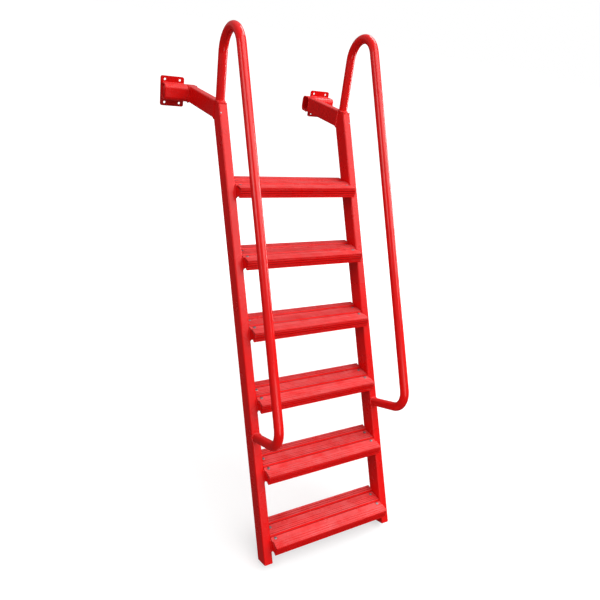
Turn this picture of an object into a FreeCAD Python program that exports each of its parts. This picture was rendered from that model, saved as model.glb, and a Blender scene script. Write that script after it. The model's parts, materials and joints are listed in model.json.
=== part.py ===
"""Dock ladder that leans out from a wall: two box-section stringers, six ribbed treads on
angle cleats, two bent handrails, and two arms that end in bolted wall brackets.

Millimetres. +X runs along the ladder's width to the right, +Y points at the wall, +Z is up.
The origin is the centre of the left bracket plate's back face, which lies on the wall.
"""
import FreeCAD
import Part
import math
import os

# Layout
bracket_spacing = 787.0
outer_width = 640.0
stringer_lean = 30.9
standoff = 603.0
first_tread_drop = 242.0
tread_count = 6
tread_rise = 254.0
stringer_tail = 110.0

# Stringers and the caps on their tops
stringer_across = 38.1
stringer_depth = 76.2
stringer_wall = 3.2
stringer_corner = 6.0
cap_thickness = 4.0
cap_corner = 3.0

# Arms from the stringers back to the brackets. They lie a little above the plates' centres
# and toe out towards the wall.
arm_across = 38.1
arm_height = 72.2
arm_wall = 3.2
arm_corner = 6.0
arm_rise = 4.1
arm_toe_out = 2.4

# Cross tubes and bracket plates
cross_tube_depth = 68.0
cross_tube_wall = 5.0
cross_tube_corner = 20.0
cross_tube_inset = 7.5
tube_cap_dome = 80.0
tube_cap_crown = 3.0
tube_cap_thickness = 3.0
plate_width = 109.0
plate_height = 131.0
plate_thickness = 6.0
plate_corner = 9.0
bolt_spacing_across = 69.0
bolt_spacing_up = 101.0
bolt_hole_diameter = 11.0

# Handrails: bent tube, from the stringer's top over a loop and down in front of the stringer.
# The left one has the wider loop and reaches further down its stringer.
rail_diameter = 38.1
riser_setback = 33.0
riser_lean = 3.5
left_rail_loop_radius = 101.0
right_rail_loop_radius = 92.0
rail_run_lean = 30.5
rail_foot_radius = 85.0
rail_foot_standoff = 235.0
left_rail_foot_distance = 1055.0
right_rail_foot_distance = 1016.0

# Treads: extruded planks with three ribbed pads, two smooth channels and a ribbed nose
tread_depth = 155.0
tread_nose_reach = 59.0
tread_wall = 4.0
tread_end_gap = 1.0
nose_height = 42.0
nose_return = 10.0
heel_height = 30.0
channel_depth = 5.0
channel_slope = 3.0
front_pad_width = 37.0
front_channel_width = 29.5
middle_pad_width = 31.0
back_channel_width = 28.0
rib_pitch = 5.2
rib_depth = 1.1
rib_groove_width = 2.4
pad_margin = 2.6

# Angle cleats that carry the treads
cleat_leg = 44.0
cleat_thickness = 4.8
cleat_inner_radius = 5.0
cleat_front_reach = 45.0
cleat_back_reach = 80.0
cleat_clip_length = 23.0
cleat_clip_height = 15.0

# How far a cutting body passes beyond the face that it cuts
overcut = 50.0

SIDES = {"left": -1, "right": 1}
lean = math.radians(stringer_lean)
toe_out = math.radians(arm_toe_out)
riser_angle = math.radians(riser_lean)
rail_run_angle = math.radians(rail_run_lean)
mid_x = bracket_spacing / 2
bracket_top = arm_rise + arm_height / 2
stringer_inner = outer_width / 2 - stringer_across
stringer_centre = outer_width / 2 - stringer_across / 2
cross_tube_front = -plate_thickness - cross_tube_depth
cross_tube_end = bracket_spacing / 2 + plate_width / 2 - cross_tube_inset
rail_loop_radius = {"left": left_rail_loop_radius, "right": right_rail_loop_radius}
rail_foot_distance = {"left": left_rail_foot_distance, "right": right_rail_foot_distance}


def vec(x, y, z):
    return FreeCAD.Vector(x, y, z)


def front_line_y(z):
    """Y of the stringers' front faces at height z."""
    return -standoff + (z + first_tread_drop) * math.tan(lean)


def back_line_y(z):
    """Y of the stringers' back faces at height z."""
    return front_line_y(z) + stringer_depth / math.cos(lean)


# The arm's underside meets the stringer's back face on this upright seam
seam_y = back_line_y(bracket_top - arm_height)


def rounded_rectangle(width, height, radius):
    """Face in the XY plane, centred on the origin, with rounded corners."""
    half_w = width / 2
    half_h = height / 2
    inset = radius * (1 - math.sqrt(0.5))
    edges = []
    for turn in range(4):
        a = half_w if turn % 2 == 0 else half_h
        b = half_h if turn % 2 == 0 else half_w
        side_start = vec(a, -b + radius, 0)
        side_end = vec(a, b - radius, 0)
        arc_mid = vec(a - inset, b - inset, 0)
        arc_end = vec(a - radius, b, 0)
        line = Part.LineSegment(side_start, side_end).toShape()
        arc = Part.Arc(side_end, arc_mid, arc_end).toShape()
        for edge in (line, arc):
            edge.rotate(vec(0, 0, 0), vec(0, 0, 1), 90 * turn)
            edges.append(edge)
    return Part.Face(Part.Wire(Part.__sortEdges__(edges)))


def box_tube(width, height, corner, wall, length):
    """Hollow tube along +Z with its section centred on the Z axis."""
    outer = rounded_rectangle(width, height, corner)
    inner = rounded_rectangle(width - 2 * wall, height - 2 * wall, max(corner - wall, 0.5))
    bore = inner.extrude(vec(0, 0, length))
    return outer.extrude(vec(0, 0, length)).cut(bore)


def box(x0, x1, y0, y1, z0, z1):
    return Part.makeBox(x1 - x0, y1 - y0, z1 - z0, vec(x0, y0, z0))


def side_span(side, inner, outer):
    """X range between two distances from the ladder's middle, on one side."""
    ends = (mid_x + SIDES[side] * inner, mid_x + SIDES[side] * outer)
    return min(ends), max(ends)


def below_first_tread(distance):
    """Point on the stringers' front line, at a distance down the slope from the first tread's level."""
    return vec(0, -standoff - distance * math.sin(lean), -first_tread_drop - distance * math.cos(lean))


def make_stringer(side):
    """Leaning box tube: square cut at the foot, level and upright cuts at the top."""
    foot = (tread_count - 1) * tread_rise / math.cos(lean) + stringer_tail
    rise_to_top = (first_tread_drop + bracket_top) / math.cos(lean)
    length = foot + rise_to_top + stringer_depth * math.tan(lean) + overcut
    tube = box_tube(stringer_across, stringer_depth, stringer_corner, stringer_wall, length)
    tube.translate(vec(0, stringer_depth / 2, 0))
    tube.rotate(vec(0, 0, 0), vec(1, 0, 0), -stringer_lean)
    tube.translate(below_first_tread(foot) + vec(mid_x + SIDES[side] * stringer_centre, 0, 0))
    x0, x1 = side_span(side, stringer_inner - overcut, outer_width / 2 + overcut)
    z_top = bracket_top - cap_thickness
    above = box(x0, x1, seam_y - 2 * standoff, seam_y + 2 * standoff, z_top, z_top + 2 * standoff)
    behind = box(x0, x1, seam_y, seam_y + 2 * standoff, -standoff, z_top + overcut)
    return tube.cut(above).cut(behind)


def make_cap(side):
    """Plate that closes the stringer's level cut, flush with the arm's top."""
    z0 = bracket_top - cap_thickness
    y0 = front_line_y(z0)
    x0, x1 = side_span(side, stringer_inner, outer_width / 2)
    blank = rounded_rectangle(x1 - x0, 2 * (seam_y - y0), cap_corner).extrude(vec(0, 0, cap_thickness))
    blank.translate(vec((x0 + x1) / 2, seam_y, z0))
    return blank.cut(box(x0, x1, seam_y, seam_y + 2 * overcut, z0, bracket_top))


def cross_tube_section():
    """Outer section of the cross tube, standing in the YZ plane."""
    face = rounded_rectangle(arm_height, cross_tube_depth, cross_tube_corner)
    face.rotate(vec(0, 0, 0), vec(0, 1, 0), 90)
    face.translate(vec(0, cross_tube_front + cross_tube_depth / 2, arm_rise))
    return face


def make_arm(side):
    """Level box tube from the upright seam to the cross tube, its end shaped round that tube."""
    length = (cross_tube_front + cross_tube_depth / 2 - seam_y) / math.cos(toe_out)
    tube = box_tube(arm_across, arm_height, arm_corner, arm_wall, overcut + length)
    tube.rotate(vec(0, 0, 0), vec(1, 0, 0), -90)
    tube.translate(vec(0, -overcut, arm_rise))
    tube.rotate(vec(0, 0, 0), vec(0, 0, 1), -SIDES[side] * arm_toe_out)
    tube.translate(vec(mid_x + SIDES[side] * stringer_centre, seam_y, 0))
    x0, x1 = side_span(side, stringer_inner - overcut, outer_width / 2 + overcut)
    ahead = box(x0, x1, seam_y - 2 * overcut, seam_y, arm_rise - arm_height, arm_rise + arm_height)
    cope = cross_tube_section().extrude(vec(x1 - x0, 0, 0))
    cope.translate(vec(x0, 0, 0))
    return tube.cut(ahead).cut(cope)


def make_cross_tube(side):
    """Hollow tube with large corners between the arm and the plate, flush with the arm's inner face."""
    arm_inner = stringer_inner + (cross_tube_front - seam_y) * math.tan(toe_out)
    x0, x1 = side_span(side, arm_inner, cross_tube_end)
    tube = box_tube(arm_height, cross_tube_depth, cross_tube_corner, cross_tube_wall, x1 - x0)
    tube.rotate(vec(0, 0, 0), vec(0, 1, 0), 90)
    tube.translate(vec(x0, cross_tube_front + cross_tube_depth / 2, arm_rise))
    return tube


def make_tube_cap(side):
    """Dished cap inside the rim of the cross tube's outer end. The inner end stays open."""
    height = arm_height - 2 * cross_tube_wall
    depth = cross_tube_depth - 2 * cross_tube_wall
    outline = rounded_rectangle(height, depth, cross_tube_corner - cross_tube_wall)
    dish = Part.makeSphere(tube_cap_dome).cut(Part.makeSphere(tube_cap_dome - tube_cap_thickness))
    cap = outline.extrude(vec(0, 0, tube_cap_dome)).common(dish)
    cap.rotate(vec(0, 0, 0), vec(0, 1, 0), SIDES[side] * 90)
    centre_x = mid_x + SIDES[side] * (cross_tube_end + tube_cap_crown - tube_cap_dome)
    cap.translate(vec(centre_x, cross_tube_front + cross_tube_depth / 2, arm_rise))
    return cap


def make_plate(side):
    """Bracket plate with four bolt holes; its back face lies on the wall."""
    face = rounded_rectangle(plate_width, plate_height, plate_corner)
    plate = face.extrude(vec(0, 0, plate_thickness))
    for across in (-bolt_spacing_across / 2, bolt_spacing_across / 2):
        for up in (-bolt_spacing_up / 2, bolt_spacing_up / 2):
            hole = Part.makeCylinder(bolt_hole_diameter / 2, plate_thickness, vec(across, up, 0))
            plate = plate.cut(hole)
    plate.rotate(vec(0, 0, 0), vec(1, 0, 0), 90)
    plate.translate(vec(mid_x + SIDES[side] * bracket_spacing / 2, 0, 0))
    return plate


def line_meeting(point_a, along_a, point_b, along_b):
    """Where two lines in the YZ plane meet."""
    det = along_a.y * along_b.z - along_a.z * along_b.y
    gap = point_b - point_a
    return point_a + along_a * ((gap.y * along_b.z - gap.z * along_b.y) / det)


def bend(corner, towards_a, towards_b, radius):
    """Tangent points and middle point of an arc that rounds a corner in the YZ plane."""
    half = towards_a.getAngle(towards_b) / 2
    start = corner + towards_a * (radius / math.tan(half))
    end = corner + towards_b * (radius / math.tan(half))
    inward = (towards_a + towards_b).normalize()
    middle = corner + inward * (radius / math.sin(half) - radius)
    return start, middle, end


def slope(angle):
    """Unit vector in the YZ plane that rises towards the wall, at an angle from upright in radians."""
    return vec(0, math.sin(angle), math.cos(angle))


def rail_path(side):
    """Centre line of a handrail in the YZ plane: riser, loop, long run, foot bend and stub."""
    out = vec(0, -math.cos(lean), math.sin(lean))
    riser_up = slope(riser_angle)
    run_up = slope(rail_run_angle)
    riser_base = vec(0, front_line_y(bracket_top) + riser_setback, bracket_top)
    stub_seat = below_first_tread(rail_foot_distance[side])
    foot_corner = stub_seat + out * rail_foot_standoff
    loop_corner = line_meeting(riser_base, riser_up, foot_corner, run_up)
    loop = bend(loop_corner, riser_up * -1, run_up * -1, rail_loop_radius[side])
    foot = bend(foot_corner, run_up, out * -1, rail_foot_radius)
    riser_start = riser_base - riser_up * rail_diameter
    return Part.Wire([
        Part.LineSegment(riser_start, loop[0]).toShape(),
        Part.Arc(*loop).toShape(),
        Part.LineSegment(loop[2], foot[0]).toShape(),
        Part.Arc(*foot).toShape(),
        Part.LineSegment(foot[2], stub_seat).toShape(),
    ])


def rod_along(path, radius):
    """Round rod that follows a path of straight runs and arcs."""
    pieces = []
    for edge in path.Edges:
        start = edge.valueAt(edge.FirstParameter)
        along = edge.tangentAt(edge.FirstParameter)
        if isinstance(edge.Curve, Part.Circle):
            disc = Part.Face(Part.Wire(Part.makeCircle(radius, start, along)))
            turn = math.degrees(edge.LastParameter - edge.FirstParameter)
            pieces.append(disc.revolve(edge.Curve.Center, edge.Curve.Axis, turn))
        else:
            pieces.append(Part.makeCylinder(radius, edge.Length, start, along))
    return pieces[0].multiFuse(pieces[1:])


def make_handrail(side):
    """Bent bar, cut level where it stands on the cap and square where it meets the stringer.

    The real one is a tube that both welds close, so its bore is left out."""
    path = rail_path(side)
    start = path.Edges[0].valueAt(path.Edges[0].FirstParameter)
    base = box(-overcut, overcut, start.y - overcut, start.y + overcut, start.z - overcut, bracket_top)
    rail = rod_along(path, rail_diameter / 2).cut(base)
    rail.translate(vec(mid_x + SIDES[side] * stringer_centre, 0, 0))
    return rail


def ribbed_line(start, end, normal):
    """Points from start to end with evenly spaced grooves cut against the normal."""
    along = end - start
    length = along.Length
    along.normalize()
    count = int((length - 2 * pad_margin - rib_groove_width) / rib_pitch) + 1
    first = (length - (count - 1) * rib_pitch - rib_groove_width) / 2
    points = [start]
    for i in range(count):
        at = first + i * rib_pitch
        points.append(start + along * at)
        points.append(start + along * (at + rib_groove_width / 2) - normal * rib_depth)
        points.append(start + along * (at + rib_groove_width))
    points.append(end)
    return points


def tread_outline():
    """Closed section of a tread in the YZ plane: top at z 0, stringers' front line at y 0."""
    front = -tread_nose_reach
    back = front + tread_depth
    pad_end = front + front_pad_width
    middle = pad_end + front_channel_width
    middle_end = middle + middle_pad_width
    heel = middle_end + back_channel_width
    up = vec(0, 0, 1)
    ahead = vec(0, -1, 0)
    points = ribbed_line(vec(0, front, -nose_height), vec(0, front, 0), ahead)
    points += ribbed_line(vec(0, front, 0), vec(0, pad_end, 0), up)[1:]
    points += [vec(0, pad_end + channel_slope, -channel_depth), vec(0, middle - channel_slope, -channel_depth)]
    points += ribbed_line(vec(0, middle, 0), vec(0, middle_end, 0), up)
    points += [vec(0, middle_end + channel_slope, -channel_depth), vec(0, heel - channel_slope, -channel_depth)]
    points += ribbed_line(vec(0, heel, 0), vec(0, back, 0), up)
    low = -channel_depth - tread_wall
    points += [
        vec(0, back, -heel_height),
        vec(0, back - tread_wall, -heel_height),
        vec(0, back - tread_wall, -tread_wall),
        vec(0, heel + tread_wall, -tread_wall),
        vec(0, heel + tread_wall - channel_slope, low),
        vec(0, middle_end - tread_wall + channel_slope, low),
        vec(0, middle_end - tread_wall, -tread_wall),
        vec(0, middle + tread_wall, -tread_wall),
        vec(0, middle + tread_wall - channel_slope, low),
        vec(0, pad_end - tread_wall + channel_slope, low),
        vec(0, pad_end - tread_wall, -tread_wall),
        vec(0, front + tread_wall, -tread_wall),
        vec(0, front + tread_wall, tread_wall - nose_height),
        vec(0, front + nose_return, tread_wall - nose_height),
        vec(0, front + nose_return, -nose_height),
    ]
    return Part.Face(Part.makePolygon(points + [points[0]]))


def tread_place(index):
    """Point on the stringers' front line at the top of a tread, counted from 0 at the highest."""
    return below_first_tread(index * tread_rise / math.cos(lean))


def make_tread(index):
    """Plank between the stringers, level, on its two cleats."""
    half = stringer_inner - tread_end_gap
    plank = tread_outline().extrude(vec(2 * half, 0, 0))
    plank.translate(tread_place(index) + vec(mid_x - half, 0, 0))
    return plank


def make_cleat(side, index):
    """Angle on the stringer's inner face: level leg under the tread, lower front corner clipped."""
    leg = cleat_leg
    wall = cleat_thickness
    radius = cleat_inner_radius
    bulge = radius * (1 - math.sqrt(0.5))
    outline = [(wall, -leg), (0, -leg), (0, 0), (leg, 0), (leg, -wall), (wall + radius, -wall)]
    corners = [vec(x, 0, z) for x, z in outline]
    edges = [Part.LineSegment(a, b).toShape() for a, b in zip(corners, corners[1:])]
    arc_end = vec(wall, 0, -wall - radius)
    edges.append(Part.Arc(corners[-1], vec(wall + bulge, 0, -wall - bulge), arc_end).toShape())
    edges.append(Part.LineSegment(arc_end, corners[0]).toShape())
    angle = Part.Face(Part.Wire(edges)).extrude(vec(0, cleat_front_reach + cleat_back_reach, 0))
    clip_top = vec(-overcut, 0, -leg + cleat_clip_height)
    clip_back = vec(-overcut, cleat_clip_length, -leg)
    clip_corner = vec(-overcut, 0, -leg)
    clip = Part.Face(Part.makePolygon([clip_top, clip_back, clip_corner, clip_top]))
    angle = angle.cut(clip.extrude(vec(leg + 2 * overcut, 0, 0)))
    if side == "right":
        angle = angle.mirror(vec(0, 0, 0), vec(1, 0, 0))
    seat_z = -channel_depth - tread_wall
    angle.translate(tread_place(index) + vec(mid_x + SIDES[side] * stringer_inner, -cleat_front_reach, seat_z))
    return angle


def build_nodes():
    nodes = {}
    for side in SIDES:
        nodes[f"stringer_{side}"] = make_stringer(side)
        nodes[f"stringer_cap_{side}"] = make_cap(side)
        nodes[f"arm_{side}"] = make_arm(side)
        nodes[f"cross_tube_{side}"] = make_cross_tube(side)
        nodes[f"tube_cap_{side}"] = make_tube_cap(side)
        nodes[f"bracket_plate_{side}"] = make_plate(side)
        nodes[f"handrail_{side}"] = make_handrail(side)
    for index in range(tread_count):
        nodes[f"tread_{index + 1}"] = make_tread(index)
        for side in SIDES:
            nodes[f"cleat_{side}_{index + 1}"] = make_cleat(side, index)
    return nodes


def main():
    os.makedirs("parts", exist_ok=True)
    total = 0.0
    for name, shape in build_nodes().items():
        solids = shape.Solids
        if len(solids) != 1 or not shape.isValid():
            raise ValueError(f"{name} has {len(solids)} solids, valid {shape.isValid()}")
        solids[0].exportStep(f"parts/{name}.step")
        total += solids[0].Volume
        bounds = solids[0].BoundBox
        print(f"{name:20s} {solids[0].Volume / 1000:8.1f} cm3  x {bounds.XMin:7.1f} to {bounds.XMax:7.1f}"
              f"  y {bounds.YMin:8.1f} to {bounds.YMax:8.1f}  z {bounds.ZMin:8.1f} to {bounds.ZMax:8.1f}")
    print(f"all solids {total / 1e6:.2f} litres")


main()
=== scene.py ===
# %% [markdown]
# A red dock ladder, dressed for its picture.
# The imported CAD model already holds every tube, plate and tread, so nothing here moves or reshapes it. This
# notebook adds what the CAD leaves out: the tread screws and their nuts, the set screws and rivets, the weld
# beads, the grip lands on the treads, the small webs behind the treads' noses, and the powder coat with its
# slight orange peel.

# %% Load the frame
import json
import math

import bmesh
import bpy
from mathutils import Matrix, Vector
from mathutils.kdtree import KDTree

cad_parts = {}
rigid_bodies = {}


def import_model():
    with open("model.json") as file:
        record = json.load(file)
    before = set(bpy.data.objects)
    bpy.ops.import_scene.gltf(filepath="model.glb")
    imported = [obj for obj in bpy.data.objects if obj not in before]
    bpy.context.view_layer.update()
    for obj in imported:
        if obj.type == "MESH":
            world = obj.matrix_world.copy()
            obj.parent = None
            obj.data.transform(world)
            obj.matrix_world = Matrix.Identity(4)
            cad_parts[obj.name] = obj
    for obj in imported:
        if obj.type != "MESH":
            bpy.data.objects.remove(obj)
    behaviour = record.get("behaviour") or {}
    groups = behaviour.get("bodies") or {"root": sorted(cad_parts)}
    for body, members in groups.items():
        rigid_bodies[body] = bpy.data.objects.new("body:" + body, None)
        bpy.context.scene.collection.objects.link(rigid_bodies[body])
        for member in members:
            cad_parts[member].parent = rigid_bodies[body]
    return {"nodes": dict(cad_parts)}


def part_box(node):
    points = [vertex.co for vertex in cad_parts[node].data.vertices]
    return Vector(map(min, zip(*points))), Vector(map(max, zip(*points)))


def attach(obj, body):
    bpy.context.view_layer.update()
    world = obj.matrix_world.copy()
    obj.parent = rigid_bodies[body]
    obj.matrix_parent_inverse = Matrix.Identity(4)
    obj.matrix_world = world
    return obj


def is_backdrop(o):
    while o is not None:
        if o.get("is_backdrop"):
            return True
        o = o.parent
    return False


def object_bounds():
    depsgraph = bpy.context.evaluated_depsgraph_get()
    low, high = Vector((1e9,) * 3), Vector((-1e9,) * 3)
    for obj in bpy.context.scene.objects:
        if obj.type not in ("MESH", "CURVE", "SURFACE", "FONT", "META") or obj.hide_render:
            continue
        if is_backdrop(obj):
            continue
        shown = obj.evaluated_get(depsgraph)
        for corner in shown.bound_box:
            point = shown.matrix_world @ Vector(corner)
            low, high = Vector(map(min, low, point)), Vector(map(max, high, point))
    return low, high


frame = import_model()
nodes = frame["nodes"]
cad_low, cad_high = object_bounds()
print("nodes:", len(nodes), "box:", [round(v, 3) for v in (*cad_low, *cad_high)])

# %% [markdown]
# The camera comes first, so that each later step can be judged in the photograph's own view.
# It stands left of the ladder, a little above the brackets, looks down to the right and is tipped by ten
# degrees. Its angles and lens were worked out from the straight edges of the tubes, whose sizes are known,
# so the principal point stays in the middle and no shift is needed.

# %% Camera
CAMERA_PLACE = Vector((-0.7002, -2.5683, 0.4039))
CAMERA_AZIMUTH = math.radians(-31.837)
CAMERA_ELEVATION = math.radians(28.294)
CAMERA_ROLL = math.radians(10.148)
CAMERA_LENS = 31.372

flat = math.cos(CAMERA_ELEVATION)
backward = Vector((
    math.sin(CAMERA_AZIMUTH) * flat,
    -math.cos(CAMERA_AZIMUTH) * flat,
    math.sin(CAMERA_ELEVATION),
))
level_right = Vector((math.cos(CAMERA_AZIMUTH), math.sin(CAMERA_AZIMUTH), 0))
level_up = backward.cross(level_right)
right = level_right * math.cos(CAMERA_ROLL) + level_up * math.sin(CAMERA_ROLL)
up = backward.cross(right)

camera_data = bpy.data.cameras.new("camera")
camera_data.sensor_width = 36
camera_data.lens = CAMERA_LENS
camera = bpy.data.objects.new("camera", camera_data)
bpy.context.scene.collection.objects.link(camera)
turn = Matrix((right, up, backward)).transposed().to_4x4()
camera.matrix_world = Matrix.Translation(CAMERA_PLACE) @ turn
bpy.context.scene.camera = camera
print("camera at", [round(v, 3) for v in CAMERA_PLACE])

# %% [markdown]
# Materials are built from nodes, so a few helpers keep their wiring readable. One adds a node with its
# values. Another chooses between three shaders by the kind of ray: the camera and transmission rays see the
# background white, glossy rays see it dimmed, and all other rays find what really lights the ladder. Glossy
# rays get only about a fifth of the white, and less from the floor, because with all of it every face seen
# at a low angle turns pink, while the photograph shows it deep red. The rest do sums, noises and mixes.

# %% Node helpers
MIRRORED_WHITE = 0.22
MIRRORED_FLOOR = 0.05


def add_node(tree, kind, **values):
    """New shader node; a value whose name is a socket's sets that socket, other names are settings."""
    node = tree.nodes.new("ShaderNode" + kind)
    for name, value in values.items():
        socket = name.replace("_", " ")
        if socket in node.inputs:
            node.inputs[socket].default_value = value
        else:
            setattr(node, name, value)
    return node


def by_ray(tree, real, mirrored, seen):
    """Shader socket: seen by the camera, mirrored by glossy rays, and real for everything else."""
    rays = add_node(tree, "LightPath")
    white = add_node(tree, "Math", operation="MAXIMUM")
    inner = add_node(tree, "MixShader")
    outer = add_node(tree, "MixShader")
    tree.links.new(rays.outputs["Is Camera Ray"], white.inputs[0])
    tree.links.new(rays.outputs["Is Transmission Ray"], white.inputs[1])
    tree.links.new(rays.outputs["Is Glossy Ray"], inner.inputs[0])
    tree.links.new(real, inner.inputs[1])
    tree.links.new(mirrored, inner.inputs[2])
    tree.links.new(white.outputs[0], outer.inputs[0])
    tree.links.new(inner.outputs[0], outer.inputs[1])
    tree.links.new(seen, outer.inputs[2])
    return outer.outputs[0]


def feed(tree, value, socket):
    """Gives a socket a fixed value, or links another node's output to it."""
    if isinstance(value, bpy.types.NodeSocket):
        tree.links.new(value, socket)
    else:
        socket.default_value = value


def calc(tree, operation, *values):
    """Output of a new Math node, whose inputs are numbers or other nodes' outputs."""
    node = add_node(tree, "Math", operation=operation)
    for value, socket in zip(values, node.inputs):
        feed(tree, value, socket)
    return node.outputs[0]


def remap(tree, value, low, high, to_low=0.0, to_high=1.0, **settings):
    """Output that carries a value from one range to another."""
    ranges = {"From_Min": low, "From_Max": high, "To_Min": to_low, "To_Max": to_high}
    node = add_node(tree, "MapRange", **ranges, **settings)
    feed(tree, value, node.inputs["Value"])
    return node.outputs[0]


def noise(tree, place, scale, detail, roughness=0.5):
    """Factor of a new noise texture."""
    node = add_node(tree, "TexNoise", Detail=detail, Roughness=roughness)
    feed(tree, place, node.inputs["Vector"])
    feed(tree, scale, node.inputs["Scale"])
    return node.outputs[0]


def mix_colours(tree, weight, first, second):
    """Colour that goes from the first to the second as the weight rises to 1."""
    node = add_node(tree, "Mix", data_type="RGBA")
    feed(tree, weight, node.inputs[0])
    feed(tree, first, node.inputs["A"])
    feed(tree, second, node.inputs["B"])
    return node.outputs["Result"]


print("helpers ready")

# %% [markdown]
# The photograph shows a white ground with a soft shadow and no wall, so there is a floor and no wall. The
# floor lies exactly under the stringers' feet. It has to read as white paper yet keep a soft shadow, so the
# camera sees paper that mostly glows and only partly takes the lamps' light. Away from the ladder the glow
# rises to full white, where the lamps no longer reach. For other rays the paper is dark grey and sends
# little light back up, because the undersides in the photograph are dark.

# %% Floor
FLOOR_HALF = 60.0
FLOOR_CENTRE = (0.39, -1.2)
GLOW_NEAR = 0.56
GLOW_FAR = 1.0
FADE_FROM = 0.9
FADE_TO = 3.2
REAL_PAPER = (0.2, 0.2, 0.2, 1)
SEEN_PAPER = (0.50, 0.50, 0.50, 1)

bpy.ops.object.select_all(action="DESELECT")
bpy.ops.mesh.primitive_plane_add(size=2 * FLOOR_HALF, location=(*FLOOR_CENTRE, cad_low.z))
floor = bpy.context.object
floor.name = "floor"
bpy.ops.object.transform_apply(location=True)
floor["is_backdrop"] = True

floor_paper = bpy.data.materials.new("floor_paper")
floor_paper.use_nodes = True
tree = floor_paper.node_tree
tree.nodes.clear()
out = add_node(tree, "OutputMaterial")
paper = add_node(tree, "BsdfDiffuse", Color=REAL_PAPER)
seen_paper = add_node(tree, "BsdfDiffuse", Color=SEEN_PAPER)
place = add_node(tree, "TexCoord")
centred = add_node(tree, "Mapping", Location=(-FLOOR_CENTRE[0], -FLOOR_CENTRE[1], -cad_low.z))
distance = add_node(tree, "VectorMath", operation="LENGTH")
glow = add_node(tree, "Emission")
seen = add_node(tree, "AddShader")
dim = add_node(tree, "Emission", Strength=MIRRORED_FLOOR)
tree.links.new(place.outputs["Object"], centred.inputs["Vector"])
tree.links.new(centred.outputs[0], distance.inputs[0])
away = distance.outputs["Value"]
fade = remap(tree, away, FADE_FROM, FADE_TO, GLOW_NEAR, GLOW_FAR, interpolation_type="SMOOTHSTEP")
tree.links.new(fade, glow.inputs["Strength"])
tree.links.new(seen_paper.outputs[0], seen.inputs[0])
tree.links.new(glow.outputs[0], seen.inputs[1])
tree.links.new(by_ray(tree, paper.outputs[0], dim.outputs[0], seen.outputs[0]), out.inputs[0])
floor.data.materials.append(floor_paper)
print("floor at z", round(cad_low.z, 4))

# %% [markdown]
# The world is the room's dim, even light. The camera sees it as pure white, which makes the background
# above the floor's far edge as white as the floor, with no horizon between them.

# %% World
ROOM_LIGHT = 0.36

world = bpy.data.worlds.new("studio")
bpy.context.scene.world = world
world.use_nodes = True
tree = world.node_tree
tree.nodes.clear()
out = add_node(tree, "OutputWorld")
room = add_node(tree, "Background", Color=(1, 1, 1, 1), Strength=ROOM_LIGHT)
white = add_node(tree, "Background", Color=(1, 1, 1, 1), Strength=1.0)
dim = add_node(tree, "Background", Color=(1, 1, 1, 1), Strength=MIRRORED_WHITE)
tree.links.new(by_ray(tree, room.outputs[0], dim.outputs[0], white.outputs[0]), out.inputs[0])
print("room light", ROOM_LIGHT)

# %% [markdown]
# In the photograph the stringers' fronts are bright and fade to a deeper red towards the foot, their left
# sides are about half as bright, and the treads' tops shine softly. A large softbox stands to the right,
# high in front, where the upper stringers mirror it. A second one hangs behind and above, where the treads
# mirror it, a third fills the left sides, and a weak one near the floor keeps the foot from falling dark. A
# tall narrow one at the right draws the pale streak that runs down the right side of both handrails.

# %% Lamps
LADDER_MIDDLE = Vector((0.39, -0.80, -0.75))
LADDER_FOOT = Vector((0.39, -1.30, -1.50))


def softbox(name, direction, distance, width, height, watts, aim=LADDER_MIDDLE):
    """Area lamp that faces the ladder's middle, or another aim, from a direction."""
    data = bpy.data.lights.new(name, "AREA")
    data.shape = "RECTANGLE"
    data.size = width
    data.size_y = height
    data.energy = watts
    lamp = bpy.data.objects.new(name, data)
    bpy.context.scene.collection.objects.link(lamp)
    towards = Vector(direction).normalized()
    lamp.location = aim + towards * distance
    lamp.rotation_euler = towards.to_track_quat("Z", "Y").to_euler()
    lamp.visible_camera = False
    print(name, "at", [round(v, 2) for v in lamp.location])


softbox("key_softbox", (0.35, -0.46, 0.82), distance=5.2, width=5.6, height=5.6, watts=255)
softbox("back_softbox", (0.42, 0.36, 0.83), distance=3.5, width=1.4, height=1.4, watts=28)
softbox("left_softbox", (-0.82, -0.20, 0.56), distance=4.2, width=2.2, height=2.2, watts=38)
softbox(
    "foot_softbox", (-0.10, -0.90, 0.40), distance=2.0, width=1.2, height=1.2, watts=7.5, aim=LADDER_FOOT
)
softbox("right_strip", (0.95, -0.02, 0.27), distance=3.0, width=0.5, height=2.2, watts=52)

# %% [markdown]
# The coat is powder paint: it is sprayed on dry and melted in an oven, which leaves a faint orange peel and
# small differences in thickness. One node group holds that texture. Every painted material places it as it
# is, and the two steels place it with finer scales. It gives a height for the bump and a tone for the colour
# and the gloss.

# %% Powder texture group
def new_group(name, inputs, outputs):
    """Shader node group with float inputs (name, value) and float outputs; gives the group and its ends."""
    group = bpy.data.node_groups.new(name, "ShaderNodeTree")
    for label, value in inputs:
        socket = group.interface.new_socket(name=label, in_out="INPUT", socket_type="NodeSocketFloat")
        socket.default_value = value
    for label in outputs:
        group.interface.new_socket(name=label, in_out="OUTPUT", socket_type="NodeSocketFloat")
    start = group.nodes.new("NodeGroupInput")
    end = group.nodes.new("NodeGroupOutput")
    print("group", group.name)
    return group, start.outputs, end.inputs


POWDER_INPUTS = [("Peel Scale", 420.0), ("Patch Scale", 7.0)]
SPECK_SCALE = 95.0
SPECK_SHARE = 0.3
PATCH_RANGE = (0.32, 0.68)

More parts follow.
